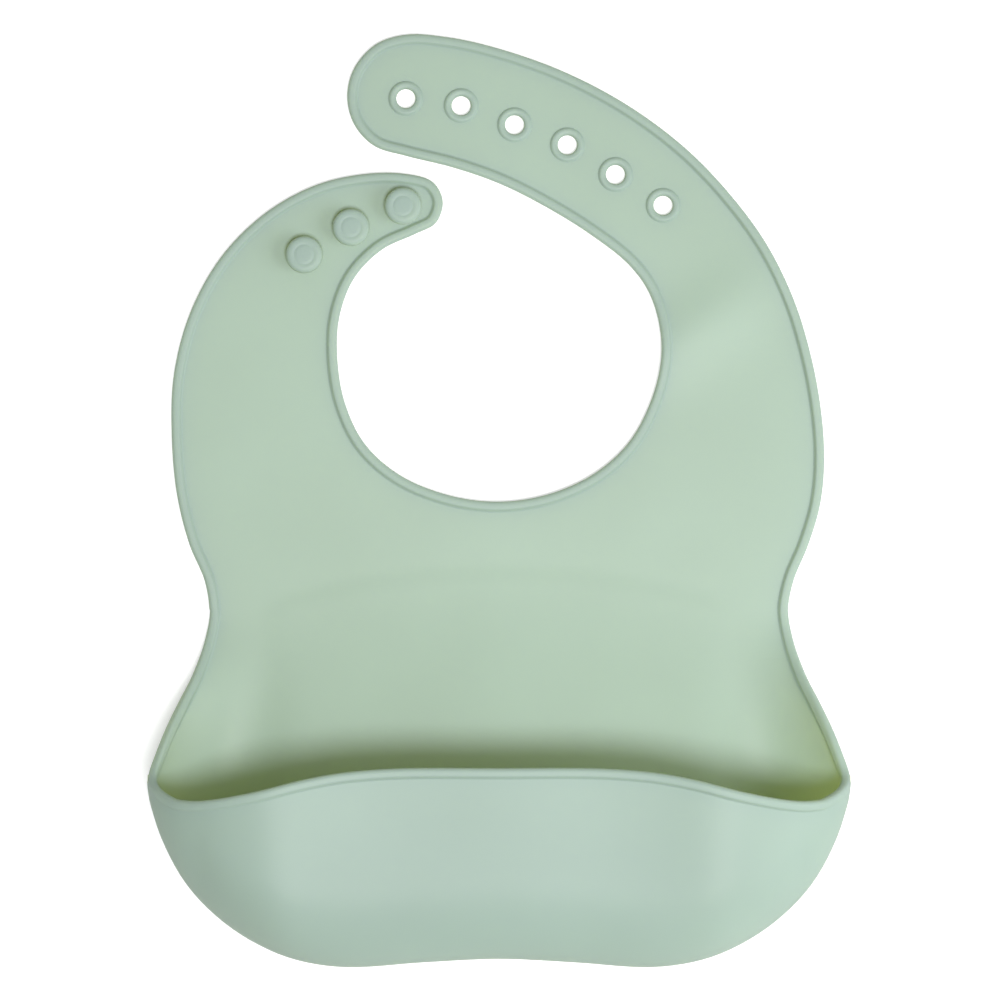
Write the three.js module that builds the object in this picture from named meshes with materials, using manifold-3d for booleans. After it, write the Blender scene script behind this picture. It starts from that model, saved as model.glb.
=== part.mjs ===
// A baby's silicone bib, lying on its back with the pocket's mouth towards the straps.
// Millimetres. X runs across the bib, Y from the pocket towards the straps, Z up from the table.
// The real bib is one moulding. Here it is divided where it flexes and where a feature begins,
// with a narrow gap at each flex line.

import * as THREE from "three";
import { mergeVertices } from "three/addons/utils/BufferGeometryUtils.js";
import Module from "manifold-3d";

const wasm = await Module();
wasm.setup();

// ---- Driving dimensions ----

const SHEET = 2; // thickness of the plain sheet
const BEAD_WIDTH = 3.4; // raised band along every free edge
const BEAD_THICKNESS = 2.9; // sheet and bead together
const FLEX_GAP = 1.4; // gap at a line where two regions bend against each other
const SEAM_GAP = 0.3; // gap between regions that stay still against each other
const OUTLINE_STEPS = 220; // points round the flat outline
const FAR_SIDE = 130; // well beyond the sheet on both sides
const STENCIL_MARGIN = 1; // a stencil reaches this far past both faces of the sheet

const HOLE_RADIUS = 3.1;
const COLLAR_RADIUS = 5.3;
const COLLAR_HEIGHT = 3.0;
const COLLAR_CHAMFER = 0.5;
const STUD_STEM_RADIUS = 2.9;
const STUD_STEM_TOP = 4.6;
const STUD_HEAD_RADIUS = 6;
const STUD_FACE_RADIUS = 4.2;
const STUD_TOP = 7.6;
const ROUND_SEGMENTS = 24;

const WAIST_Y = -36; // the panel folds here, and the pocket's sides begin to rise
const CHEST_SPLIT_Y = -6; // below the neck opening
const WING_Y = -88; // the pocket's upper corners
const CORNER_X = 112; // half width at the corners, to the middle of the sheet
const CORNER_Z = 21; // how far the back has risen there
const WING_FLAT = 64; // the back stays flat this far from the middle
const FRONT_FLAT = 62; // the front stays flat this far from the middle
const FRONT_Z = 45; // front wall at its lip
const FRONT_DROP = 4; // the front wall is this much lower where it meets the floor
const FLOOR_TOP_Y = -125; // where the rounded floor runs out into the front wall
const FLOOR_SHARE = 0.75; // most of a section's depth that the rounded floor may take
const ROUNDNESS = 2.2; // exponent of the front's superellipse
const SIDE_END = 1.3; // the sides stop this far short of their tip

// Outline of the flat sheet, from the right waist round the straps to the left waist.
const OUTLINE = [
  [94.5, -48], [93.5, -37], [95.3, -27], [100.2, -15], [104, -2], [105.3, 12], [104.3, 28],
  [101, 46], [95.5, 64], [86.7, 82], [75, 98], [60, 113.5], [41, 127.5], [20, 138.4],
  [-2, 146], [-17, 149.2], [-30, 150], [-40, 146.8], [-47, 139], [-49.2, 130], [-47, 121],
  [-40.5, 114], [-30, 110.7], [-15, 107], [0, 101.8], [15, 94.3], [30, 85], [42, 75.5],
  [48.5, 66.5], [52, 55], [52.3, 44], [49, 31], [42, 18], [31, 8], [16, 1.2], [0, -1.2],
  [-16, 0.8], [-32, 7.3], [-43.5, 17.5], [-50, 31], [-52.4, 46], [-51.6, 59], [-47, 71],
  [-38, 80.3], [-27, 85.5], [-20.5, 89], [-18.2, 96], [-21.5, 102.3], [-31, 105],
  [-45, 104.7], [-60, 101], [-76, 92], [-90, 78], [-100, 60], [-105.3, 40], [-106, 20],
  [-104.3, 1], [-100.3, -15], [-95.3, -27], [-93.8, -37], [-94.8, -48],
];

// Centres of the strap's holes from its end to the shoulder, and of the studs from the shoulder.
const HOLES = [
  [-30.2, 129.3], [-12.3, 127], [5, 120.8], [22.1, 114.3], [37.7, 104.7], [53.1, 94.7],
];
const STUDS = [[-62.9, 78.5], [-47.8, 87.3], [-31, 94.2]];

// Flex lines across the straps: a point on the line, and the way the strap runs there.
const LONG_SHOULDER = { at: [71, 66], along: [-0.4, 0.92], half: 29 };
const LONG_MIDDLE = { at: [45.4, 99.7], along: [-0.84, 0.545], half: 27 };
const LONG_OUTER = { at: [-2.8, 126.2], along: [-0.94, 0.337], half: 25 };
const LONG_END = { at: [-60, 134], along: [-1, 0.06], half: 23.5 };
const SHORT_SHOULDER = { at: [-78, 54], along: [0.25, 0.968], half: 31 };
const SHORT_OUTER = { at: [-55.9, 84.5], along: [0.865, 0.5], half: 22 };
const SHORT_END = { at: [-16, 95], along: [1, 0.1], half: 11 };

// A shoulder's region ends at these heights, outside the sheet and inside the neck opening.
const SHOULDER_OUTER_Y = 60;
const SHOULDER_INNER_Y = 30;

// Half width of the lower panel, as [half width, Y] from the waist to the corner.
const SIDE_EDGE = [[93.7, -36], [95.4, -46], [99.2, -57], [104, -67], [108.8, -78], [112, -88]];
// Lowest edge of the pocket and the top of its lip, as [distance from the middle, Y].
const POCKET_BOTTOM = [
  [0, -146.1], [24, -147.2], [48, -148.7], [64, -146.4], [78, -140.7], [90, -132.4],
  [100, -122], [107, -109], [111, -97], [112, -91.5],
];
const POCKET_LIP = [
  [0, -85], [30, -85], [48, -86.2], [62, -88.6], [78, -92.6], [94, -95.4], [104, -94.8],
  [109, -92], [112, -89],
];

// Divisions of each curved sheet, across and down.
const PANEL_STEPS = [20, 9];
const RIM_STEPS = [2, 9];
const BACK_STEPS = [10, 3];
const FLOOR_STEPS = [13, 10];
const FRONT_STEPS = [10, 4];
const LIP_STEPS = [12, 1];
const SIDE_STEPS = [7, 16];
const SIDE_LIP_STEPS = [9, 1];
// Shares of a side wall's divisions that its back and its floor take.
const SIDE_BACK_SHARE = 0.25;
const SIDE_FLOOR_SHARE = 0.5;

const MERGE_DISTANCE = 1e-4;
const NUDGE = 1e-3; // step in a sheet's own coordinates for its slopes

// ---- Materials ----

function silicone(color) {
  return new THREE.MeshStandardMaterial({ color, roughness: 0.55, metalness: 0 });
}

const PANEL_GREEN = 0xb9cfbe;
const POCKET_GREEN = 0xb4ccb9;
const STRAP_GREEN = 0xb2c9b6;
const BEAD_GREEN = 0xbed2c2;
const STUD_GREEN = 0xaac5b0;

// ---- Helpers ----

const bib = new THREE.Group();

function addPiece(name, geometry, color) {
  const mesh = new THREE.Mesh(geometry, silicone(color));
  mesh.name = name;
  bib.add(mesh);
  return mesh;
}

function mix(a, b, t) {
  return a + (b - a) * t;
}

function smooth(t) {
  const c = THREE.MathUtils.clamp(t, 0, 1);
  return c * c * (3 - 2 * c);
}

function toSolid(geometry) {
  const bare = geometry.clone();
  bare.deleteAttribute("normal");
  bare.deleteAttribute("uv");
  const merged = mergeVertices(bare, MERGE_DISTANCE);
  return new wasm.Manifold(
    new wasm.Mesh({
      numProp: 3,
      vertProperties: new Float32Array(merged.attributes.position.array),
      triVerts: new Uint32Array(merged.index.array),
    }),
  );
}

function toGeometry(solid) {
  const mesh = solid.getMesh();
  const geometry = new THREE.BufferGeometry();
  geometry.setAttribute("position", new THREE.BufferAttribute(mesh.vertProperties, 3));
  geometry.setIndex(new THREE.BufferAttribute(mesh.triVerts, 1));
  geometry.computeVertexNormals();
  return geometry;
}

// A flat plate with the given outline, from z = bottom to z = top.
function plate(points, bottom, top) {
  const shape = new THREE.Shape(points);
  const geometry = new THREE.ExtrudeGeometry(shape, { depth: top - bottom, bevelEnabled: false });
  geometry.translate(0, 0, bottom);
  return toSolid(geometry);
}

// The flat region inside the points, deep enough to cut the sheet right through.
function stencil(points) {
  return plate(points, -STENCIL_MARGIN, BEAD_THICKNESS + STENCIL_MARGIN);
}

// A value read off a smooth curve through [distance, value] pairs.
function readCurve(pairs, distance) {
  const last = pairs.length - 1;
  const d = THREE.MathUtils.clamp(distance, pairs[0][0], pairs[last][0]);
  let i = 0;
  while (i < last - 1 && d > pairs[i + 1][0]) {
    i += 1;
  }
  const slopeAt = (k) => {
    const a = pairs[Math.max(k - 1, 0)];
    const b = pairs[Math.min(k + 1, last)];
    return k === 0 ? 0 : (b[1] - a[1]) / (b[0] - a[0]);
  };
  const span = pairs[i + 1][0] - pairs[i][0];
  const t = (d - pairs[i][0]) / span;
  const t2 = t * t;
  const t3 = t2 * t;
  return (
    (2 * t3 - 3 * t2 + 1) * pairs[i][1] +
    (t3 - 2 * t2 + t) * span * slopeAt(i) +
    (3 * t2 - 2 * t3) * pairs[i + 1][1] +
    (t3 - t2) * span * slopeAt(i + 1)
  );
}

// ---- Flat sheet with its raised bead ----

const outlineCurve = new THREE.CatmullRomCurve3(
  OUTLINE.map(([x, y]) => new THREE.Vector3(x, y, 0)),
  false,
  "centripetal",
);
const outline = outlineCurve.getSpacedPoints(OUTLINE_STEPS).map((p) => new THREE.Vector2(p.x, p.y));

function insetOutline(distance) {
  return outline.map((p, i) => {
    const before = outline[Math.max(i - 1, 0)];
    const after = outline[Math.min(i + 1, outline.length - 1)];
    const along = after.clone().sub(before).normalize();
    return new THREE.Vector2(p.x - along.y * distance, p.y + along.x * distance);
  });
}

const sheet = plate(outline, 0, SHEET);
const beadBand = plate(outline, 0, BEAD_THICKNESS).subtract(stencil(insetOutline(BEAD_WIDTH)));
const flatBib = sheet.add(beadBand);

// An end of a flex line, on the given side of the strap, moved along the strap by shift.
function flexEnd(line, side, shift) {
  const at = new THREE.Vector2(...line.at);
  const along = new THREE.Vector2(...line.along).normalize();
  const across = new THREE.Vector2(-along.y, along.x);
  return at.addScaledVector(along, shift).addScaledVector(across, side * line.half);
}

// The stretch of the flat bib between two flex lines of a strap.
function strapStretch(from, to) {
  const gap = FLEX_GAP / 2;
  const corners = [
    flexEnd(from, 1, gap),
    flexEnd(from, -1, gap),
    flexEnd(to, -1, -gap),
    flexEnd(to, 1, -gap),
  ];
  return flatBib.intersect(stencil(corners));
}

function drill(solid, centres, radius) {
  return centres.reduce((left, [x, y]) => {
    const drillBit = new THREE.CylinderGeometry(radius, radius, 3 * BEAD_THICKNESS, ROUND_SEGMENTS);
    drillBit.rotateX(Math.PI / 2);
    drillBit.translate(x, y, 0);
    return left.subtract(toSolid(drillBit));
  }, solid);
}

// One shoulder, from the chest up to the first flex line of its strap; side is 1 or -1.
function addShoulder(name, line, side) {
  const bottom = CHEST_SPLIT_Y + SEAM_GAP;
  const middle = (side * SEAM_GAP) / 2;
  const corners = [
    new THREE.Vector2(middle, bottom),
    new THREE.Vector2(side * FAR_SIDE, bottom),
    new THREE.Vector2(side * FAR_SIDE, SHOULDER_OUTER_Y),
    flexEnd(line, -side, -FLEX_GAP / 2),
    flexEnd(line, side, -FLEX_GAP / 2),
    new THREE.Vector2(middle, SHOULDER_INNER_Y),
  ];
  if (side < 0) {
    corners.reverse();
  }
  addPiece(name, toGeometry(flatBib.intersect(stencil(corners))), PANEL_GREEN);
}

function addChest() {
  const waist = WAIST_Y + FLEX_GAP / 2;
  const corners = [
    new THREE.Vector2(-FAR_SIDE, waist),
    new THREE.Vector2(FAR_SIDE, waist),
    new THREE.Vector2(FAR_SIDE, CHEST_SPLIT_Y),
    new THREE.Vector2(-FAR_SIDE, CHEST_SPLIT_Y),
  ];
  addPiece("chest_panel", toGeometry(flatBib.intersect(stencil(corners))), PANEL_GREEN);
  addShoulder("shoulder_right", LONG_SHOULDER, 1);
  addShoulder("shoulder_left", SHORT_SHOULDER, -1);
}

function addEyelet(name, [x, y]) {
  const lathe = new THREE.LatheGeometry(
    [
      new THREE.Vector2(HOLE_RADIUS, 0),
      new THREE.Vector2(COLLAR_RADIUS, 0),
      new THREE.Vector2(COLLAR_RADIUS, COLLAR_HEIGHT - COLLAR_CHAMFER),
      new THREE.Vector2(COLLAR_RADIUS - COLLAR_CHAMFER, COLLAR_HEIGHT),
      new THREE.Vector2(HOLE_RADIUS, COLLAR_HEIGHT),
      new THREE.Vector2(HOLE_RADIUS, 0),
    ],
    ROUND_SEGMENTS,
  );
  lathe.rotateX(Math.PI / 2);
  const eyelet = addPiece(name, lathe, BEAD_GREEN);
  eyelet.position.set(x, y, 0);
}

function addLongStrap() {
  const clearHole = COLLAR_RADIUS + SEAM_GAP;
  const root = drill(strapStretch(LONG_SHOULDER, LONG_MIDDLE), HOLES.slice(5), clearHole);
  const middle = drill(strapStretch(LONG_MIDDLE, LONG_OUTER), HOLES.slice(2, 5), clearHole);
  const tip = drill(strapStretch(LONG_OUTER, LONG_END), HOLES.slice(0, 2), clearHole);
  addPiece("long_strap_root", toGeometry(root), STRAP_GREEN);
  addPiece("long_strap_middle", toGeometry(middle), STRAP_GREEN);
  addPiece("long_strap_tip", toGeometry(tip), STRAP_GREEN);
  HOLES.forEach((centre, i) => addEyelet(`eyelet_${i + 1}`, centre));
}

function addStud(name, [x, y]) {
  const bevel = STUD_HEAD_RADIUS - STUD_FACE_RADIUS;
  const lathe = new THREE.LatheGeometry(
    [
      new THREE.Vector2(0, SHEET),
      new THREE.Vector2(STUD_STEM_RADIUS, SHEET),
      new THREE.Vector2(STUD_STEM_RADIUS, STUD_STEM_TOP),
      new THREE.Vector2(STUD_HEAD_RADIUS, STUD_STEM_TOP),
      new THREE.Vector2(STUD_HEAD_RADIUS, STUD_TOP - bevel / 2),
      new THREE.Vector2(STUD_FACE_RADIUS, STUD_TOP),
      new THREE.Vector2(0, STUD_TOP),
    ],
    ROUND_SEGMENTS,
  );
  lathe.rotateX(Math.PI / 2);
  const stud = addPiece(name, lathe, STUD_GREEN);
  stud.position.set(x, y, 0);
}

function addShortStrap() {
  addPiece("short_strap_root", toGeometry(strapStretch(SHORT_SHOULDER, SHORT_OUTER)), STRAP_GREEN);
  addPiece("short_strap_tip", toGeometry(strapStretch(SHORT_OUTER, SHORT_END)), STRAP_GREEN);
  STUDS.forEach((centre, i) => addStud(`stud_${i + 1}`, centre));
}

// ---- Lower panel and pocket: curved sheets ----

// How far the back has begun to rise at its sides, from 0 at the waist to 1 at the corners.
function rise(y) {
  return smooth((WAIST_Y - y) / (WAIST_Y - WING_Y));
}

function sideEdge(y) {
  const pairs = SIDE_EDGE.map(([halfWidth, edgeY]) => [-edgeY, halfWidth]);
  return readCurve(pairs, -y);
}

// Height of the middle of the sheet on the back.
function backZ(x, y) {
  const out = THREE.MathUtils.clamp((Math.abs(x) - WING_FLAT) / (sideEdge(y) - WING_FLAT), 0, 1);
  const up = rise(y);
  return SHEET / 2 + CORNER_Z * up * (1 - (1 - out * out) ** (1 - up / 2));
}

// Height of the middle of the sheet on the front, at its lip.
function lipZ(x) {
  const out = THREE.MathUtils.clamp((Math.abs(x) - FRONT_FLAT) / (CORNER_X - FRONT_FLAT), 0, 1);
  const corner = SHEET / 2 + CORNER_Z;
  return corner + (FRONT_Z - corner) * Math.sqrt(1 - out ** ROUNDNESS);
}

// The pocket cut through at a distance x from the middle: where its walls and floor run.
function section(x) {
  const distance = Math.abs(x);
  const bottom = readCurve(POCKET_BOTTOM, distance);
  const lip = readCurve(POCKET_LIP, distance);
  const flatBottom = readCurve(POCKET_BOTTOM, Math.min(distance, FRONT_FLAT));
  const turn = Math.min(FLOOR_TOP_Y - flatBottom, (lip - bottom - BEAD_WIDTH) * FLOOR_SHARE);
  const back = backZ(x, WING_Y);
  const front = lipZ(x);
  const share = (front - back) / (FRONT_Z - SHEET / 2);
  return { bottom, lip, turn, back, front, floorFront: front - FRONT_DROP * share };
}

function backAt(x, share) {
  const s = section(x);
  return new THREE.Vector3(x, mix(WING_Y, s.bottom + s.turn, share), s.back);
}

function floorAt(x, share) {
  const s = section(x);
  const angle = -Math.PI * (0.5 + share);
  return new THREE.Vector3(
    x,
    s.bottom + s.turn * (1 + Math.cos(angle)),
    (s.floorFront + s.back) / 2 + ((s.floorFront - s.back) / 2) * Math.sin(angle),
  );
}

// A point of the front wall; "below" is its distance under the lip, along Y.
function frontAt(x, below) {
  const s = section(x);
  const y = s.lip - below;
  const share = (y - s.bottom - s.turn) / (s.lip - s.bottom - s.turn);
  return new THREE.Vector3(x, y, mix(s.floorFront, s.front, share));
}

function frontHeight(x) {
  const s = section(x);
  return s.lip - s.bottom - s.turn;
}

// A closed curved sheet: each vertex of a box is carried to the surface, then off it along the
// normal to one of the two faces, "inner" and "outer" from the middle of the sheet.
function curvedSheet(pointAt, [uSteps, vSteps], inner, outer) {
  const geometry = new THREE.BoxGeometry(1, 1, 1, uSteps, vSteps, 1);
  const position = geometry.attributes.position;
  const alongU = new THREE.Vector3();
  const alongV = new THREE.Vector3();
  for (let i = 0; i < position.count; i += 1) {
    const u = position.getX(i) + 0.5;
    const v = position.getY(i) + 0.5;
    alongU.subVectors(pointAt(Math.min(u + NUDGE, 1), v), pointAt(Math.max(u - NUDGE, 0), v));
    alongV.subVectors(pointAt(u, Math.min(v + NUDGE, 1)), pointAt(u, Math.max(v - NUDGE, 0)));
    const normal = alongU.cross(alongV).normalize();
    const point = pointAt(u, v).addScaledVector(normal, position.getZ(i) > 0 ? outer : inner);
    position.setXYZ(i, point.x, point.y, point.z);
  }
  return toGeometry(toSolid(geometry));
}

const HALF = SHEET / 2;
const RAISED = BEAD_THICKNESS - HALF;

function rimWidth(y) {
  return BEAD_WIDTH * (1 - rise(y) / 2);
}

function addLowerPanel() {
  const yAt = (v) => mix(WAIST_Y - FLEX_GAP / 2, WING_Y + SEAM_GAP, v);
  const panel = (u, v) => {
    const y = yAt(v);
    const x = (2 * u - 1) * (sideEdge(y) - rimWidth(y) - 2 * SEAM_GAP);
    return new THREE.Vector3(x, y, backZ(x, y));
  };
  addPiece("lower_panel", curvedSheet(panel, PANEL_STEPS, -HALF, HALF), POCKET_GREEN);
  [["rim_left", -1], ["rim_right", 1]].forEach(([name, side]) => {
    const rim = (u, v) => {
      const y = yAt(v);
      const outwards = side > 0 ? u : 1 - u;
      const x = side * (sideEdge(y) - rimWidth(y) * (1 - outwards));
      return new THREE.Vector3(x, y, backZ(x, y));
    };
    addPiece(name, curvedSheet(rim, RIM_STEPS, -RAISED, HALF), BEAD_GREEN);
  });
}

function addPocketMiddle() {
  const across = (u) => mix(-FRONT_FLAT, FRONT_FLAT, u);
  const narrow = FRONT_FLAT - SEAM_GAP;
  const acrossFront = (u) => mix(-narrow, narrow, u);
  const seam = SEAM_GAP / (WING_Y - FLOOR_TOP_Y);
  const back = (u, v) => backAt(across(u), mix(seam / 2, 1 - seam, v));
  const floor = (u, v) => {
    const point = floorAt(across(u), v);
    point.y -= v * (FLEX_GAP / 2);
    return point;
  };
  const wallFoot = (x) => frontHeight(x) - FLEX_GAP / 2;
  const front = (u, v) => {
    const x = acrossFront(u);
    return frontAt(x, mix(wallFoot(x), BEAD_WIDTH + SEAM_GAP, v));
  };
  const lip = (u, v) => frontAt(acrossFront(u), mix(BEAD_WIDTH, 0, v));
  addPiece("pocket_back", curvedSheet(back, BACK_STEPS, -HALF, HALF), POCKET_GREEN);
  addPiece("pocket_floor", curvedSheet(floor, FLOOR_STEPS, -HALF, HALF), POCKET_GREEN);
  addPiece("pocket_front", curvedSheet(front, FRONT_STEPS, -HALF, HALF), POCKET_GREEN);
  addPiece("pocket_lip", curvedSheet(lip, LIP_STEPS, -HALF, RAISED), BEAD_GREEN);
}

function addPocketSide(name, lipName, side) {
  const start = FRONT_FLAT + SEAM_GAP;
  const xAt = (u) => {
    const outwards = side > 0 ? u : 1 - u;
    return side * mix(start, CORNER_X - SIDE_END, Math.sin((outwards * Math.PI) / 2));
  };
  // The wall runs down the back, round the floor and up the front to below the lip.
  const wall = (u, v) => {
    const x = xAt(u);
    if (v < SIDE_BACK_SHARE) {
      return backAt(x, v / SIDE_BACK_SHARE);
    }
    if (v < SIDE_BACK_SHARE + SIDE_FLOOR_SHARE) {
      return floorAt(x, (v - SIDE_BACK_SHARE) / SIDE_FLOOR_SHARE);
    }
    const up = (v - SIDE_BACK_SHARE - SIDE_FLOOR_SHARE) / (1 - SIDE_BACK_SHARE - SIDE_FLOOR_SHARE);
    return frontAt(x, mix(frontHeight(x), BEAD_WIDTH + SEAM_GAP, up));
  };
  const lip = (u, v) => frontAt(xAt(u), mix(BEAD_WIDTH, 0, v));
  addPiece(name, curvedSheet(wall, SIDE_STEPS, -HALF, HALF), POCKET_GREEN);
  addPiece(lipName, curvedSheet(lip, SIDE_LIP_STEPS, -HALF, RAISED), BEAD_GREEN);
}

addChest();
addLongStrap();
addShortStrap();
addLowerPanel();
addPocketMiddle();
addPocketSide("pocket_side_left", "lip_left", -1);
addPocketSide("pocket_side_right", "lip_right", 1);

export default bib;
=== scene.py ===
"""A silicone bib lying on its back on a pale table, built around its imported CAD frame.

Lengths are in millimetres up to where a mesh is made, and in metres in the section on the
floor, light and camera. X runs across the bib, Y from the pocket towards the straps and Z up
from the table.
"""

import math

import bmesh
import bpy
import numpy as np
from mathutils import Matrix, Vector
from mathutils.geometry import delaunay_2d_cdt


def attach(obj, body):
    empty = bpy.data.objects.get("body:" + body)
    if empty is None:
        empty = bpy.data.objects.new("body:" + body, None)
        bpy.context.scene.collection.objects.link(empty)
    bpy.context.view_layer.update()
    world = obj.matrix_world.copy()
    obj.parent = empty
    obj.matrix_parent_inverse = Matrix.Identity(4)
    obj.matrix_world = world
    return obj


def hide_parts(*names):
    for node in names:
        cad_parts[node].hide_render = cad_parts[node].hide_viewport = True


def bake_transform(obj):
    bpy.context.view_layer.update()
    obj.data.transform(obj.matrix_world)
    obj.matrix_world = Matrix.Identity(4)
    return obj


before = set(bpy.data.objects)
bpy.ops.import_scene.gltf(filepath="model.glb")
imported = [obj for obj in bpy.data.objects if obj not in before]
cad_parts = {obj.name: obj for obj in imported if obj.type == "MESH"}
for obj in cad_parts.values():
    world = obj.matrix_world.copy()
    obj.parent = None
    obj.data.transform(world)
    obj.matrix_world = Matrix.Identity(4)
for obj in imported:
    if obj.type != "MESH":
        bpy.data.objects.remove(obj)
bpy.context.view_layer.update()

MM = 0.001

# ---- Driving dimensions: the CAD model's, or within a few millimetres of them ----

SHEET = 2.0  # thickness of the plain sheet
BEAD_WIDTH = 3.0  # the raised band along the free edge
BEAD_RAISED = 0.9
WAIST_Y = -36.0  # the sides begin to rise here
WING_Y = -88.0  # the pocket's upper corners
CORNER_X = 111.3  # half width at the corners, to the middle of the sheet
CORNER_Z = 21.0  # how far the back has risen there
WING_FLAT = 70.0  # the sides rise from this far from the middle
FRONT_FLAT = 62.0  # the front wall falls towards the corners from this far from the middle
FRONT_Z = 45.0  # height of the front wall at its lip, before it is pressed in
FRONT_DROP = 3.0  # the front wall is this much lower where it meets the floor
FLOOR_TOP_Y = -125.0  # where the rounded floor runs out into the front wall
FLOOR_SHARE = 0.75  # most of a section's depth that the rounded floor may take
TIP_TURN = 0.4  # least of a section's depth that it takes, which it does at the corners
ROUNDNESS = 2.2  # exponent of the front's superellipse
FRONT_DISH = 3.4  # the middle of the front wall is pressed in this far
DISH_HALF = 76.0  # and no longer at all this far from the middle
RISE_EASE = 1.25  # above 1, the sides stay low for longer below the waist
PANEL_END_Y = -52.0  # the panel's skin ends and the pocket's begins, below the waist's bend

# The free edge of the flat sheet, from the right waist round the straps to the left waist.
OUTLINE = [
    (94.5, -48), (93.5, -37), (95.3, -27), (100.2, -15), (104, -2), (105.3, 12), (104.3, 28),
    (101, 46), (95.5, 64), (86.7, 82), (75, 98), (60, 113.5), (41, 127.5), (20, 138.4),
    (-2, 146), (-17, 149.2), (-30, 150), (-40, 146.8), (-47, 139), (-49.2, 130), (-47, 121),
    (-40.5, 114), (-30, 110.7), (-15, 107), (0, 101.8), (15, 94.3), (30, 85), (42, 75.5),
    (48.5, 66.5), (52, 55), (52.3, 44), (49, 31), (42, 18), (31, 8), (16, 1.2), (0, -1.2),
    (-16, 0.8), (-32, 7.3), (-43.5, 17.5), (-50, 31), (-52.4, 46), (-51.6, 59), (-47, 71),
    (-38, 80.3), (-27, 85.5), (-20.5, 89), (-18.2, 96), (-21.5, 102.3), (-31, 105),
    (-45, 104.7), (-60, 101), (-76, 92), (-90, 78), (-100, 60), (-105.3, 40), (-106, 20),
    (-104.3, 1), (-100.3, -15), (-95.3, -27), (-93.8, -37), (-94.8, -48),
]
# The strap's holes from its end to the shoulder, and the studs from the shoulder.
HOLES = [(-30.2, 129.3), (-12.3, 127), (5, 120.8), (22.1, 114.3), (37.7, 104.7), (53.1, 94.7)]
STUDS = [(-62.9, 78.5), (-47.8, 87.3), (-31, 94.2)]

# Right halves of the pocket's lines seen from above: its side, its bottom and its lip.
SIDE_EDGE = [(93.6, -36), (95.2, -46), (98.9, -57), (103.6, -67), (108.2, -78), (111.3, -88)]
POCKET_BOTTOM = [
    (0, -146.1), (24, -147.2), (48, -148.7), (64, -146.4), (78, -140.7), (90, -132.4),
    (99.5, -122), (106.5, -109), (110.4, -97), (111.3, -91.5),
]
POCKET_LIP = [
    (0, -85), (30, -85), (48, -86.2), (62, -88.6), (78, -92.6), (94, -95.4), (104, -94.8),
    (108.6, -92), (111.3, -89),
]


# ---- Curves and surfaces ----

def mix(a, b, t):
    return a + (b - a) * t


def smooth(t):
    t = np.clip(t, 0, 1)
    return t * t * (3 - 2 * t)


def unit(v):
    v = np.asarray(v, float)
    return v / np.linalg.norm(v, axis=-1, keepdims=True)


def hermite(t, start, end, start_slope, end_slope, span=1):
    """The cubic from start to end over span, with these slopes at its ends, at a share t."""
    return (
        (2 * t**3 - 3 * t**2 + 1) * start
        + (t**3 - 2 * t**2 + t) * span * start_slope
        + (3 * t**2 - 2 * t**3) * end
        + (t**3 - t**2) * span * end_slope
    )


def read_curve(pairs, distance):
    """A value read off a smooth curve through (distance, value) pairs, for one or many."""
    xs = np.array([p[0] for p in pairs], float)
    ys = np.array([p[1] for p in pairs], float)
    slopes = np.empty_like(ys)
    slopes[1:-1] = (ys[2:] - ys[:-2]) / (xs[2:] - xs[:-2])
    slopes[0] = 0
    slopes[-1] = (ys[-1] - ys[-2]) / (xs[-1] - xs[-2])
    d = np.clip(distance, xs[0], xs[-1])
    i = np.clip(np.searchsorted(xs, d, side="right") - 1, 0, len(xs) - 2)
    span = xs[i + 1] - xs[i]
    t = (d - xs[i]) / span
    return hermite(t, ys[i], ys[i + 1], slopes[i], slopes[i + 1], span)


def centripetal(points, per_span):
    """Points along a centripetal Catmull-Rom curve through the given ones."""
    p = np.array(points, float)
    p = np.vstack([2 * p[0] - p[1], p, 2 * p[-1] - p[-2]])
    made = []
    for k in range(1, len(p) - 2):
        d = [np.linalg.norm(p[k + j] - p[k + j - 1]) ** 0.5 for j in (0, 1, 2)]
        t1 = (p[k] - p[k - 1]) / d[0] - (p[k + 1] - p[k - 1]) / (d[0] + d[1])
        t1 = (t1 + (p[k + 1] - p[k]) / d[1]) * d[1]
        t2 = (p[k + 1] - p[k]) / d[1] - (p[k + 2] - p[k]) / (d[1] + d[2])
        t2 = (t2 + (p[k + 2] - p[k + 1]) / d[2]) * d[1]
        for share in np.arange(per_span) / per_span:
            made.append(hermite(share, p[k], p[k + 1], t1, t2))
    made.append(p[-2])
    return np.array(made)


def respaced(points, spacing):
    """The same polyline with points at an even spacing."""
    steps = np.linalg.norm(np.diff(points, axis=0), axis=1)
    along = np.concatenate([[0], np.cumsum(steps)])
    count = max(int(round(along[-1] / spacing)), 1)
    wanted = np.linspace(0, along[-1], count + 1)
    return np.column_stack([np.interp(wanted, along, column) for column in points.T])


def full_turn(steps):
    """Evenly spaced angles round a circle."""
    return np.linspace(0, 2 * math.pi, steps, endpoint=False)


def side_edge(y):
    """Half width of the bib at y, between the waist and the pocket's upper corners."""
    return read_curve([(-edge_y, half) for half, edge_y in SIDE_EDGE], -np.asarray(y, float))


def rise(y):
    """How far the sides have risen at y: 0 at the waist, 1 at the pocket's upper corners."""
    return smooth((WAIST_Y - y) / (WAIST_Y - WING_Y)) ** RISE_EASE


# The middle of the pocket's back stands a little off the table, up to an arc below the neck.
PLATE_RISE = 5.2
PLATE_EDGE = 78.0  # half width of the raised part
PLATE_FADE = 32.0  # width over which its rise fades out at the sides
PLATE_SLOPE = 66.0  # it reaches its height this far below the arc
ARC_TOP = -22.5
ARC_FALL = 0.002
ARC_STEP = -0.25  # the front of the sheet is raised by this below the arc
ARC_STEP_WIDTH = 3.5
ARC_STEP_FADE = 10.0


def arc_y(x):
    return ARC_TOP - ARC_FALL * x**2


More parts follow.
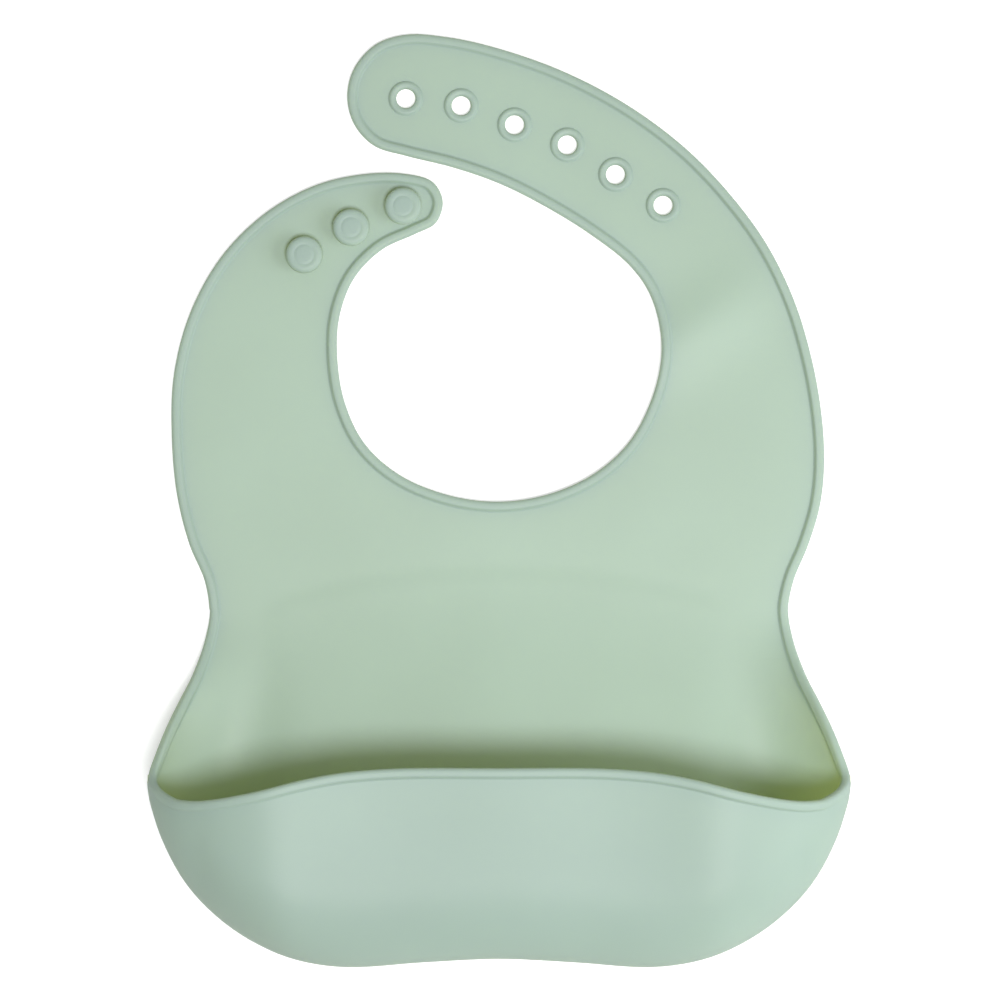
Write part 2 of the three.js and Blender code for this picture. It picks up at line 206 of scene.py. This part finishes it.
def plate_share(x, y):
    """0 off the raised part to 1 on it; its edge is soft at the sides and at the arc."""
    across = smooth((PLATE_EDGE + PLATE_FADE / 2 - np.abs(x)) / PLATE_FADE)
    return across * smooth((arc_y(x) - y) / PLATE_SLOPE)


def back_z(x, y):
    """Height of the middle of the sheet, on the panel and on the back of the pocket."""
    out = np.clip((np.abs(x) - WING_FLAT) / (side_edge(y) - WING_FLAT), 0, 1)
    up = rise(y)
    wing = CORNER_Z * up * (1 - (1 - out**2) ** (1 - up / 2))
    return SHEET / 2 + wing + PLATE_RISE * plate_share(x, y)


def lip_z(x):
    """Height of the middle of the front wall at its lip."""
    out = np.clip((np.abs(x) - FRONT_FLAT) / (CORNER_X - FRONT_FLAT), 0, 1)
    corner = SHEET / 2 + CORNER_Z
    dish = FRONT_DISH * (1 - np.clip(np.abs(x) / DISH_HALF, 0, 1) ** 4) ** 2
    return corner + (FRONT_Z - corner) * np.sqrt(1 - out**ROUNDNESS) - dish


def section(x):
    """Where the pocket's walls and floor run, cut through at x."""
    d = np.abs(x)
    bottom = read_curve(POCKET_BOTTOM, d)
    lip = read_curve(POCKET_LIP, d)
    flat_bottom = read_curve(POCKET_BOTTOM, np.minimum(d, FRONT_FLAT))
    turn = np.minimum(FLOOR_TOP_Y - flat_bottom, (lip - bottom - BEAD_WIDTH) * FLOOR_SHARE)
    turn = np.maximum(turn, (lip - bottom) * TIP_TURN)
    back = back_z(x, WING_Y)
    front = lip_z(x)
    share = (front - back) / (FRONT_Z - SHEET / 2)
    floor_front = front - FRONT_DROP * share
    lean = (front - floor_front) / (lip - bottom - turn)
    return bottom, lip, turn, back, floor_front, lean


# The middle of the pocket's sheet at x: its back from the corners' line down to the floor, its
# floor from back to front, and its front wall up to the lip. A share runs from 0 to 1 over each.

def pocket_back_at(x, share):
    bottom, _, turn, back, _, _ = section(x)
    return np.stack([x, mix(WING_Y, bottom + turn, share), back], -1)


def pocket_floor_at(x, share):
    bottom, _, turn, back, floor_front, lean = section(x)
    angle = -math.pi * (0.5 + share)
    y = bottom + turn * (1 + np.cos(angle))
    z = (floor_front + back) / 2 + (floor_front - back) / 2 * np.sin(angle)
    z = z + lean * (y - bottom - turn) * smooth(2 * share - 1)
    return np.stack([x, y, z], -1)


def pocket_front_at(x, share):
    bottom, lip, turn, _, floor_front, lean = section(x)
    y = mix(bottom + turn, lip, share)
    return np.stack([x, y, floor_front + lean * (y - bottom - turn)], -1)


# ---- The free edge: one closed line round the whole bib ----

EDGE_STEP = 1.1  # spacing of the points along the edge
OUTLINE_STEPS = 24  # points on the outline's curve from each given point to the next
RIM_STEPS = 80  # points down each rising side, before they are spaced evenly
LIP_STEPS = 401  # and along the lip
LIP_BELOW = 0.9  # share of the front wall from which its way up to the lip is read
CORNER_REACH = 9.0  # within this of the corners in X, the edge is eased
CORNER_ROUNDS = 40
TURN_LENGTH = 24.0  # the bead changes over from one face to the other along this length
NUDGE = 1e-3  # step over which slopes are measured


def height_normal(x, y):
    """The front-side normal of the panel, where it is a height over the table."""
    slope_x = (back_z(x + NUDGE, y) - back_z(x - NUDGE, y)) / (2 * NUDGE)
    slope_y = (back_z(x, y + NUDGE) - back_z(x, y - NUDGE)) / (2 * NUDGE)
    return unit(np.stack([-slope_x, -slope_y, np.ones_like(slope_x)], -1))


def free_edge():
    """Points along the free edge, anticlockwise from the right waist, and there the normal
    of the side of the sheet that faces the food."""
    flat = centripetal(OUTLINE, OUTLINE_STEPS)
    flat = respaced(flat[flat[:, 1] > WAIST_Y], EDGE_STEP)
    flat = np.column_stack([flat, np.full(len(flat), SHEET / 2)])
    flat_normals = np.tile([0.0, 0.0, 1.0], (len(flat), 1))

    ys = np.linspace(WAIST_Y, WING_Y, RIM_STEPS)[1:]
    xs = side_edge(ys)
    rim = np.column_stack([xs, ys, back_z(xs, ys)])
    rim_normals = height_normal(xs - BEAD_WIDTH, ys)
    left = [-1, 1, 1]

    lip_x = CORNER_X * np.sin(np.linspace(-math.pi / 2, math.pi / 2, LIP_STEPS))
    lip = pocket_front_at(lip_x, 1.0)
    along = np.gradient(lip, axis=0)
    up = lip - pocket_front_at(lip_x, LIP_BELOW)
    lip_normals = unit(np.cross(up, along))

    lower = np.vstack([rim * left, lip, rim[::-1]])
    lower_normals = np.vstack([rim_normals * left, lip_normals, rim_normals[::-1]])
    lower = respaced(np.hstack([lower, lower_normals]), EDGE_STEP)
    for _ in range(CORNER_ROUNDS):
        eased = (lower[:-2] + 2 * lower[1:-1] + lower[2:]) / 4
        near_corner = np.abs(lower[1:-1, :1]) > CORNER_X - CORNER_REACH
        lower[1:-1] = np.where(near_corner, eased, lower[1:-1])
    points = np.vstack([flat, lower[:, :3]])
    return points, unit(np.vstack([flat_normals, lower[:, 3:]]))


# Where the skin is cut: a point, the way a strap or the panel runs there, and how far the cut
# reaches to each side. Every cut crosses a stretch that stays rigid.
CUTS = {
    "long_foot": ((77, 52.2), (-0.4, 0.92), 28),
    "long_middle": ((60, 85), (-0.6, 0.8), 27),
    "long_outer": ((29.9, 109.5), (-0.85, 0.52), 24),
    "short_foot": ((-81.5, 41), (0.2, 0.98), 36),
    "short_outer": ((-67, 72), (0.585, 0.811), 25),
    "panel_end": ((0, PANEL_END_Y), (0, 1), 120),
}


class Edge:
    """The free edge with its frame at each point, and the places where the cuts cross it."""

    def __init__(self):
        points, normals = free_edge()
        data = np.hstack([points, normals])
        made, marks = [], {}
        for i, here in enumerate(data):
            after = data[(i + 1) % len(data)]
            made.append(here)
            for name, (at, way, reach) in CUTS.items():
                way = unit(np.array(way, float))
                before_side = (here[:2] - at) @ way
                after_side = (after[:2] - at) @ way
                aside = abs((here[0] - at[0]) * way[1] - (here[1] - at[1]) * way[0])
                if before_side * after_side < 0 and aside < reach:
                    share = before_side / (before_side - after_side)
                    marks.setdefault(name, []).append(len(made))
                    made.append(mix(here, after, share))
        data = np.array(made)
        start = marks["panel_end"][1]
        self.count = len(data)
        data = np.roll(data, -start, axis=0)
        self.marks = {
            name: sorted((i - start) % self.count for i in found) for name, found in marks.items()
        }
        self.points = data[:, :3]
        self.normals = unit(data[:, 3:])
        ahead = unit(np.roll(self.points, -1, axis=0) - np.roll(self.points, 1, axis=0))
        self.inwards = unit(np.cross(self.normals, ahead))
        self.normals = unit(np.cross(ahead, self.inwards))
        # 0 on the panel, where the bead is raised on the front, to 1 on the lip, where it is
        # raised on the outside of the pocket
        steps = np.diff(self.points, axis=0, prepend=self.points[-1:])
        travelled = np.cumsum(np.linalg.norm(steps, axis=1))
        left = travelled[np.argmin(self.points[:, 0])]
        right = travelled[np.argmax(self.points[:, 0])]
        past_left = smooth((travelled - left) / TURN_LENGTH + 0.5)
        before_right = smooth((right - travelled) / TURN_LENGTH + 0.5)
        self.turned = past_left * before_right

    def stretch(self, start, end):
        """Indices from start to end, both included, going round."""
        if end <= start:
            end += self.count
        return np.arange(start, end + 1) % self.count


edge = Edge()


# ---- Meshes ----

SHARP = math.radians(50)  # edges that turn by more than this are not smoothed


def add_to_scene(name, data):
    placed = bpy.data.objects.new(name, data)
    bpy.context.scene.collection.objects.link(placed)
    return placed


def make_object(name, points, faces, closing):
    """An object from shells that the closing faces make whole. Those lie where one piece meets
    the next, or inside a bead, so they are left out once they have shown which way is out."""
    mesh = bpy.data.meshes.new(name)
    mesh.from_pydata([tuple(p) for p in points * MM], [], faces + closing)
    shells = bmesh.new()
    shells.from_mesh(mesh)
    bmesh.ops.recalc_face_normals(shells, faces=shells.faces)
    shells.faces.ensure_lookup_table()
    bmesh.ops.delete(shells, geom=shells.faces[len(faces):], context="FACES")
    shells.to_mesh(mesh)
    shells.free()
    mesh.shade_smooth()
    mesh.set_sharp_from_angle(angle=SHARP)
    return add_to_scene(name, mesh)


# A soft fold in the sheet below the strap with holes, where it lifts off the table a little.
FOLD_AT = np.array([63.0, 54.0])
FOLD_WAY = unit([0.78, 0.62])
FOLD_HEIGHT = 1.5
FOLD_WIDTH = 11.0
FOLD_LENGTH = 26.0


def lift(points):
    """How far the fold raises each point."""
    away = points[:, :2] - FOLD_AT
    along = away @ FOLD_WAY
    across = away @ np.array([-FOLD_WAY[1], FOLD_WAY[0]])
    return FOLD_HEIGHT * np.exp(-((across / FOLD_WIDTH) ** 2) - (along / FOLD_LENGTH) ** 2)


class Solid:
    """Points and faces gathered from several shells."""

    def __init__(self):
        self.points = []
        self.faces = []
        self.closing = []

    def add(self, points, faces, closing=()):
        base = len(self.points)
        self.points.extend(np.asarray(points, float))
        self.faces.extend([tuple(int(i) + base for i in face) for face in faces])
        self.closing.extend([tuple(int(i) + base for i in face) for face in closing])

    def build(self, name):
        points = np.array(self.points)
        points[:, 2] += lift(points)
        return make_object(name, points, self.faces, self.closing)


def loft(rings, closed_path=False):
    """Closed rings of points joined one to the next: points, faces, and the flat ends."""
    count, around = rings.shape[:2]
    faces, ends = [], []
    for i in range(count if closed_path else count - 1):
        j = (i + 1) % count
        for k in range(around):
            m = (k + 1) % around
            faces.append((i * around + k, i * around + m, j * around + m, j * around + k))
    if not closed_path:
        ends.append(tuple(range(around)))
        ends.append(tuple((count - 1) * around + k for k in range(around)))
    return rings.reshape(-1, 3), faces, ends


def bead_profile(inner, outer):
    """The bead's cut as (in from the free edge, up) pairs, from its foot on the side of the
    food round the edge to its foot on the other side. The bead's face stands inner and outer
    from the middle of the sheet on the two sides."""
    w = BEAD_WIDTH

    def side(half):
        raised = half - SHEET / 2
        foot = [(w + 0.8, SHEET / 2 - 0.07), (w + 0.4, SHEET / 2 + 0.04 * raised)]
        wall = [(w + 0.1, SHEET / 2 + 0.28 * raised), (w - 0.12, SHEET / 2 + 0.65 * raised)]
        top = [(w - 0.4, half - 0.06 * raised), (w - 0.8, half), (w / 2, half), (1.0, half)]
        corner = [(0.55, half - 0.13), (0.2, half - 0.42), (0.03, half - 0.85)]
        return foot + wall + top + corner

    lower = [(t, -n) for t, n in side(outer)][::-1]
    return np.array(side(inner) + lower)


def bead(indices):
    """The raised band along a stretch of the free edge."""
    rings = []
    for i in indices:
        turned = edge.turned[i]
        inner = SHEET / 2 + BEAD_RAISED * (1 - turned)
        outer = SHEET / 2 + BEAD_RAISED * turned
        cut = bead_profile(inner, outer)
        rings.append(edge.points[i] + cut[:, :1] * edge.inwards[i] + cut[:, 1:] * edge.normals[i])
    return loft(np.array(rings))


HIDDEN = 1.2  # the plain sheet ends this far in from the free edge, inside the bead
SKIN_HALF = SHEET / 2 - 0.02  # the bead's foot starts just under the plain sheet's face
GRID = 3.0  # spacing of the plain sheet's points
FINE_GRID = 1.3  # the same where the sheet's sides begin to rise
RISING_Y = -32.0  # which is below this
RISING_X = 76.0  # and outside this
ROW_SPACING = 0.87  # distance between a grid's rows, for points spaced 1 apart
BORDER_GAP = 0.6  # grid points closer to the border than this share of their spacing are left out
HOLE_GAP = 0.5  # the same at the holes
MERGE = 1e-5  # points closer than this would be one point
SLIVER = 1e-3  # triangles thinner than this lie on a straight cut and are left out


def relief(x, y):
    """How far the front of the sheet is sunk below the arc, or raised if negative."""
    across = smooth((PLATE_EDGE - np.abs(x)) / ARC_STEP_FADE)
    return ARC_STEP * smooth((arc_y(x) - y) / ARC_STEP_WIDTH) * across


def inside(points, polygon):
    """Which points lie inside the polygon."""
    x, y = points[:, 0], points[:, 1]
    result = np.zeros(len(points), bool)
    after = np.roll(polygon, -1, axis=0)
    for (ax, ay), (bx, by) in zip(polygon, after):
        crosses = (ay > y) != (by > y)
        with np.errstate(divide="ignore", invalid="ignore"):
            at = (bx - ax) * (y - ay) / (by - ay) + ax
        result ^= crosses & (x < at)
    return result


def clearance(points, line):
    """Distance from each point to the nearest point of the line."""
    return np.min(np.linalg.norm(points[:, None, :] - line[None, :, :], axis=2), axis=1)


def triangle_grid(low, high, spacing):
    """Points from low to high in rows, every other row shifted by half the spacing."""
    rows = []
    for r, y in enumerate(np.arange(low[1], high[1], spacing * ROW_SPACING)):
        xs = np.arange(low[0] + (r % 2) * spacing / 2, high[0], spacing)
        rows.append(np.column_stack([xs, np.full(len(xs), y)]))
    return np.vstack(rows)


def plan_sheet(solid, border, holes=()):
    """A sheet over the plan inside border and outside the holes."""
    grids = []
    for spacing in (GRID, FINE_GRID):
        grid = triangle_grid(border.min(0), border.max(0), spacing)
        rising = (grid[:, 1] < RISING_Y) & (np.abs(grid[:, 0]) > RISING_X)
        keep = (rising == (spacing == FINE_GRID)) & inside(grid, border)
        grid = grid[keep]
        keep = clearance(grid, border) > spacing * BORDER_GAP
        for hole in holes:
            keep &= ~inside(grid, hole) & (clearance(grid, hole) > spacing * HOLE_GAP)
        grids.append(grid[keep])
    grid = np.vstack(grids)
    loops = [border] + list(holes)
    points = np.vstack(loops + [grid])
    edges, base = [], 0
    for loop in loops:
        edges += [(base + k, base + (k + 1) % len(loop)) for k in range(len(loop))]
        base += len(loop)
    made = delaunay_2d_cdt([Vector(p) for p in points], edges, [], 0, MERGE)
    flat, triangles = made[0], made[2]
    if len(flat) != len(points):
        raise RuntimeError("the sheet's border crosses itself")
    triangles = np.array(triangles)
    first, second, third = np.swapaxes(points[triangles], 0, 1)
    (ax, ay), (bx, by) = (second - first).T, (third - first).T
    centres = (first + second + third) / 3
    keep = inside(centres, border) & (ax * by - ay * bx > SLIVER)
    for hole in holes:
        keep &= ~inside(centres, hole)
    triangles = triangles[keep]
    x, y = points[:, 0], points[:, 1]
    middle = np.column_stack([points, back_z(x, y)])
    normal = height_normal(x, y)
    front = middle + normal * (SKIN_HALF - relief(x, y))[:, None]
    back = middle - normal * SKIN_HALF
    n = len(points)
    faces = [tuple(t) for t in triangles] + [tuple(t[::-1] + n) for t in triangles]
    used = {side for a, b, c in triangles for side in ((a, b), (b, c), (c, a))}
    walls = [(b, a, a + n, b + n) for a, b in sorted(used) if (b, a) not in used]
    solid.add(np.vstack([front, back]), faces, walls)


def grid_sheet(solid, middle, outwards, inner):
    """A sheet over a grid of middle points: half its thickness outwards, and inner the other
    way."""
    rows, cols = middle.shape[:2]
    out = middle + outwards * SKIN_HALF
    back = middle - outwards * inner[..., None]
    n = rows * cols
    faces = []
    for r in range(rows - 1):
        for c in range(cols - 1):
            a, b = r * cols + c, r * cols + c + 1
            d, e = a + cols, b + cols
            faces.append((a, b, e, d))
            faces.append((a + n, d + n, e + n, b + n))
    rim = [(0, c) for c in range(cols)]
    rim += [(r, cols - 1) for r in range(1, rows)]
    rim += [(rows - 1, c) for c in range(cols - 2, -1, -1)]
    rim += [(r, 0) for r in range(rows - 2, 0, -1)]
    ids = [r * cols + c for r, c in rim]
    walls = [(b, a, a + n, b + n) for a, b in zip(ids, ids[1:] + ids[:1])]
    solid.add(np.vstack([out.reshape(-1, 3), back.reshape(-1, 3)]), faces, walls)


def turned_profile(profile, centre, angle):
    """The (radius, height) pairs of a profile, turned to an angle about the vertical through
    centre."""
    return [
        (centre[0] + r * math.cos(angle), centre[1] + r * math.sin(angle), z) for r, z in profile
    ]


# ---- The flat pieces ----

# The collar round a hole, as (radius, height) pairs that close on themselves.
EYELET = [
    (3.45, 0.0), (4.9, 0.0), (5.2, 0.3), (5.8, 1.9), (5.6, 2.03), (5.4, 2.2), (5.2, 2.42),
    (4.9, 2.55), (4.5, 2.58), (3.75, 2.5), (3.4, 2.36), (3.16, 2.05), (3.08, 1.5), (3.12, 0.5),
    (3.25, 0.15),
]
EYELET_SEGMENTS = 48
EYELET_MIDDLE = 4.4  # the plain sheet stops at this radius, inside the collar
EYELET_BORDER = 24  # points round the plain sheet's edge there


def border_of(indices):
    """The plain sheet's border along a stretch of the free edge, seen from above."""
    return (edge.points[indices] + edge.inwards[indices] * HIDDEN)[:, :2]


def cut_between(start, end):
    """Points along a cut, without its two ends, the same from either side of the cut."""
    count = max(int(round(np.linalg.norm(end - start) / GRID)), 2)
    shares = np.arange(1, count) / count
    return mix(start, end, shares[:, None])


def flat_piece(name, stretches, holes=(), last_cut=None):
    """A flat piece bounded by stretches of the free edge, given anticlockwise, and by the
    cuts from the end of each to the start of the next. Points given as last_cut stand in for
    the last of these."""
    solid = Solid()
    runs = [edge.stretch(start, end) for start, end in stretches]
    borders = [border_of(run) for run in runs]
    parts = []
    for k, border in enumerate(borders):
        following = borders[(k + 1) % len(borders)][0]
        cut = cut_between(border[-1], following)
        if last_cut is not None and k == len(borders) - 1:
            cut = last_cut
        parts += [border, cut]
    turns = full_turn(EYELET_BORDER)
    circle = EYELET_MIDDLE * np.column_stack([np.cos(turns), np.sin(turns)])
    plan_sheet(solid, np.vstack(parts), [circle + hole for hole in holes])
    for run in runs:
        solid.add(*bead(run))
    for hole in holes:
        rings = [turned_profile(EYELET, hole, a) for a in full_turn(EYELET_SEGMENTS)]
        solid.add(*loft(np.array(rings), closed_path=True))
    return solid.build(name)


# ---- The pocket ----

COLUMNS = 46  # on each side of the middle
EVEN = 60.0  # the columns are evenly spaced this far from the middle
RIM_ROWS = 13  # rows from the panel's end to the corners' line
BACK_ROWS = 12
FLOOR_ROWS = 20
FRONT_ROWS = 15
RIM_GAP = 0.35  # at the corners' line, the skin stops this far short of the free edge
RIM_GAP_LENGTH = 12.0  # it comes this close over this length
TIP_GAP = 0.03  # on the floor and the front wall, it stops this far short of the tips
TIP_GAP_SHARE = 0.25  # share of the pocket's back over which it comes that close


def column_x(limit):
    """Where the pocket's columns stand in a row that ends at limit, closer together at the
    sides, where the walls turn."""
    swing = (limit - EVEN) * math.pi / 2
    even_share = EVEN / (EVEN + swing)
    share = np.arange(COLUMNS + 1) / COLUMNS
    angle = np.clip((share - even_share) / (1 - even_share), 0, 1) * math.pi / 2
    even = share / even_share * EVEN
    turning = EVEN + (limit - EVEN) * np.sin(angle)
    half = np.where(share < even_share, even, turning)
    return np.concatenate([-half[:0:-1], half])


def pocket_rows():
    """The middle of the pocket's sheet, row by row from the panel's end down the back, round
    the floor and up the front, and how deep the front side is sunk there."""
    rows, sunk = [], []
    for y in np.linspace(PANEL_END_Y, WING_Y, RIM_ROWS, endpoint=False):
        gap = mix(RIM_GAP, HIDDEN, smooth((y - WING_Y) / RIM_GAP_LENGTH))
        x = column_x(float(side_edge(y)) - gap)
        rows.append(np.stack([x, np.full_like(x, y), back_z(x, np.full_like(x, y))], -1))
        sunk.append(relief(x, y))
    for share in np.linspace(0, 1, BACK_ROWS, endpoint=False):
        x = column_x(CORNER_X - mix(RIM_GAP, TIP_GAP, smooth(share / TIP_GAP_SHARE)))
        rows.append(pocket_back_at(x, share))
        sunk.append(relief(x, rows[-1][:, 1]) * (1 - share))
    x = column_x(CORNER_X - TIP_GAP)
    for share in np.linspace(0, 1, FLOOR_ROWS, endpoint=False):
        rows.append(pocket_floor_at(x, share))
        sunk.append(np.zeros_like(x))
    bottom, lip, turn, _, _, _ = section(x)
    top = 1 - HIDDEN / np.maximum(lip - bottom - turn, 2 * HIDDEN)
    for share in np.linspace(0, 1, FRONT_ROWS):
        rows.append(pocket_front_at(x, share * top))
        sunk.append(np.zeros_like(x))
    return np.array(rows), np.array(sunk)


def pocket_piece(name, stretch):
    """The pocket and the rising sides above it as one skin, with the bead along a stretch of
    the free edge."""
    solid = Solid()
    middle, sunk = pocket_rows()
    across = np.gradient(middle, axis=1)
    down = np.gradient(middle, axis=0)
    outwards = unit(np.cross(across, down))
    grid_sheet(solid, middle, outwards, SKIN_HALF - sunk)
    solid.add(*bead(edge.stretch(*stretch)))
    return solid.build(name)


# ---- The studs ----

# A stud as (radius, height) pairs from the sheet to its top.
STUD = [
    (0.0, 1.5), (4.1, 1.5), (4.1, 1.9), (3.55, 2.1), (3.15, 2.45), (2.95, 3.0), (2.9, 4.2),
    (3.15, 4.55), (5.2, 4.6), (5.7, 4.75), (5.93, 5.05), (6.0, 5.6), (5.97, 6.15), (5.86, 6.6),
    (5.65, 6.98), (5.35, 7.25), (5.0, 7.4), (4.6, 7.47), (4.1, 7.49), (3.7, 7.48), (3.45, 7.44),
    (3.25, 7.42), (3.05, 7.44), (2.8, 7.5), (2.2, 7.53), (1.0, 7.54), (0.0, 7.54),
]
STUD_SEGMENTS = 64


def stud_piece(name, centre):
    """A whole stud, closed at both ends."""
    solid = Solid()
    points = [(*centre, STUD[0][1]), (*centre, STUD[-1][1])]
    profile = STUD[1:-1]
    for angle in full_turn(STUD_SEGMENTS):
        points += turned_profile(profile, centre, angle)
    n = len(profile)
    faces = []
    for i in range(STUD_SEGMENTS):
        here, after = 2 + i * n, 2 + ((i + 1) % STUD_SEGMENTS) * n
        faces.append((0, after, here))
        faces.append((1, here + n - 1, after + n - 1))
        for k in range(n - 1):
            faces.append((here + k, after + k, after + k + 1, here + k + 1))
    solid.add(points, faces)
    return solid.build(name)


# ---- The silicone ----

SILICONE = (0.407, 0.526, 0.523)
CLOUDS = 0.03  # its colour drifts this share lighter and darker
GLOW = (0.71, 0.77, 0.32)  # light that has come through the sheet is warmer
GLOW_SHARE = 0.42  # weight of that light against what the surface reflects
GRAIN_STRENGTH = 0.12
GRAIN_HEIGHT = 0.08


def set_inputs(node, values):
    for name, value in values.items():
        node.inputs[name].default_value = value


def new_node(nodes, kind, values):
    """A shader node with the named inputs set."""
    made = nodes.new(kind)
    set_inputs(made, values)
    return made


def silicone():
    """Matt translucent silicone with a fine moulded grain."""
    material = bpy.data.materials.new("silicone")
    material.use_nodes = True
    nodes, links = material.node_tree.nodes, material.node_tree.links
    nodes.clear()
    surface = {"IOR": 1.41, "Sheen Weight": 0.05, "Sheen Roughness": 0.5}
    shader = new_node(nodes, "ShaderNodeBsdfPrincipled", surface)
    glow = new_node(nodes, "ShaderNodeBsdfTranslucent", {"Color": (*GLOW, 1)})
    both = new_node(nodes, "ShaderNodeMixShader", {"Fac": GLOW_SHARE})
    output = nodes.new("ShaderNodeOutputMaterial")
    place = nodes.new("ShaderNodeTexCoord")

    cloudy = new_node(nodes, "ShaderNodeTexNoise", {"Scale": 14, "Detail": 2})
    tint = nodes.new("ShaderNodeValToRGB")
    ends = zip(tint.color_ramp.elements, (0.35, 0.65), (1 - CLOUDS, 1 + CLOUDS))
    for element, position, share in ends:
        element.position = position
        element.color = (*(c * share for c in SILICONE), 1)

    grain = new_node(nodes, "ShaderNodeTexNoise", {"Scale": 1800, "Detail": 3})
    rough = new_node(nodes, "ShaderNodeMapRange", {"To Min": 0.40, "To Max": 0.50})
    relief_values = {"Strength": GRAIN_STRENGTH, "Distance": GRAIN_HEIGHT * MM}
    bump = new_node(nodes, "ShaderNodeBump", relief_values)

    for texture in (cloudy, grain):
        links.new(place.outputs["Object"], texture.inputs["Vector"])
    links.new(cloudy.outputs["Fac"], tint.inputs["Fac"])
    links.new(tint.outputs["Color"], shader.inputs["Base Color"])
    links.new(grain.outputs["Fac"], rough.inputs["Value"])
    links.new(rough.outputs["Result"], shader.inputs["Roughness"])
    links.new(grain.outputs["Fac"], bump.inputs["Height"])
    links.new(bump.outputs["Normal"], shader.inputs["Normal"])
    links.new(shader.outputs["BSDF"], both.inputs[1])
    links.new(glow.outputs["BSDF"], both.inputs[2])
    links.new(both.outputs["Shader"], output.inputs["Surface"])
    return material


# ---- The bib ----


def bend(piece):
    """Bakes the piece's placement into its mesh."""
    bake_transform(piece)


marks = edge.marks
end_right, end_left = marks["panel_end"]
finish = silicone()

panel_end_x = column_x(float(side_edge(PANEL_END_Y)) - HIDDEN)
panel_cut = np.array([(x, PANEL_END_Y) for x in panel_end_x[1:-1]])
foot_a, foot_b = marks["long_foot"]
middle_a, middle_b = marks["long_middle"]
outer_a, outer_b = marks["long_outer"]
short_a, short_b = marks["short_foot"]
tip_a, tip_b = marks["short_outer"]

panel = flat_piece(
    "bib_panel",
    [(end_right, foot_a), (foot_b, short_a), (short_b, end_left)],
    last_cut=panel_cut,
)
bend(panel)
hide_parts("chest_panel", "shoulder_left", "shoulder_right")

strap_1 = flat_piece("strap_with_holes_root", [(foot_a, middle_a), (middle_b, foot_b)])
bend(strap_1)
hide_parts("long_strap_root")

strap_2 = flat_piece(
    "strap_with_holes_middle", [(middle_a, outer_a), (outer_b, middle_b)], HOLES[4:]
)
bend(strap_2)
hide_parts("long_strap_middle", "eyelet_5", "eyelet_6")

strap_3 = flat_piece("strap_with_holes_tip", [(outer_a, outer_b)], HOLES[:4])
bend(strap_3)
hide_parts("long_strap_tip", "eyelet_1", "eyelet_2", "eyelet_3", "eyelet_4")

short_1 = flat_piece("strap_with_studs_root", [(short_a, tip_a), (tip_b, short_b)])
bend(short_1)
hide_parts("short_strap_root")

short_2 = flat_piece("strap_with_studs_tip", [(tip_a, tip_b)])
bend(short_2)
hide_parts("short_strap_tip")

pocket = pocket_piece("pocket_skin", (end_left, end_right))
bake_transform(pocket)
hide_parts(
    "lower_panel", "rim_left", "rim_right", "pocket_back", "pocket_floor", "pocket_front",
    "pocket_lip", "pocket_side_left", "pocket_side_right", "lip_left", "lip_right",
)

studs = [stud_piece(f"stud_button_{i + 1}", centre) for i, centre in enumerate(STUDS)]
for i, stud in enumerate(studs):
    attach(stud, "short_strap_1" if i == 0 else "short_strap_2")
    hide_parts(f"stud_{i + 1}")

for piece in [panel, strap_1, strap_2, strap_3, short_1, short_2, pocket, *studs]:
    piece.data.materials.append(finish)


# ---- Floor, light and camera, in metres ----

FLOOR_REACH = 4.0
FLOOR_Z = -0.0003  # just under the bib
FLOOR_GREY = 0.6
FLOOR_GLOW = 0.5  # the floor shines a little, so that it is white in the picture
OVERHEAD = {"place": (0.42, -0.97, 4.5), "size": 1.45, "power": 189}
SIDE = {"place": (0.84, -0.20, 0.65), "size": 0.8, "power": 8}
SKY_STRENGTH = 0.22
CAMERA_PLACE = (0.0003, -0.0007, 1.4)
VIEW_HALF = 0.1621  # half width of what the camera sees on the table


def area_light(name, place, size, power):
    """A soft round light at place, aimed at the middle of the bib."""
    light = bpy.data.lights.new(name, "AREA")
    light.shape = "DISK"
    light.size = size
    light.energy = power
    lamp = add_to_scene(name, light)
    lamp.location = place
    lamp.rotation_euler = (-Vector(place)).to_track_quat("-Z", "Y").to_euler()


table = bpy.data.materials.new("floor")
table.use_nodes = True
set_inputs(table.node_tree.nodes["Principled BSDF"], {
    "Base Color": (FLOOR_GREY, FLOOR_GREY, FLOOR_GREY, 1),
    "Roughness": 0.9,
    "Emission Color": (1, 1, 1, 1),
    "Emission Strength": FLOOR_GLOW,
})
floor_mesh = bpy.data.meshes.new("floor")
corners = [(-1, -1), (1, -1), (1, 1), (-1, 1)]
floor_points = [(x * FLOOR_REACH, y * FLOOR_REACH, FLOOR_Z) for x, y in corners]
floor_mesh.from_pydata(floor_points, [], [(0, 1, 2, 3)])
floor_mesh.materials.append(table)
floor = add_to_scene("floor", floor_mesh)

area_light("overhead", **OVERHEAD)
area_light("side", **SIDE)

world = bpy.data.worlds.new("studio")
world.use_nodes = True
sky = {"Color": (1, 1, 1, 1), "Strength": SKY_STRENGTH}
set_inputs(world.node_tree.nodes["Background"], sky)
bpy.context.scene.world = world

camera_data = bpy.data.cameras.new("camera")
camera_data.angle = 2 * math.atan(VIEW_HALF / CAMERA_PLACE[2])
camera = add_to_scene("camera", camera_data)
camera.location = CAMERA_PLACE
bpy.context.scene.camera = camera
bpy.context.scene.view_settings.view_transform = "Standard"
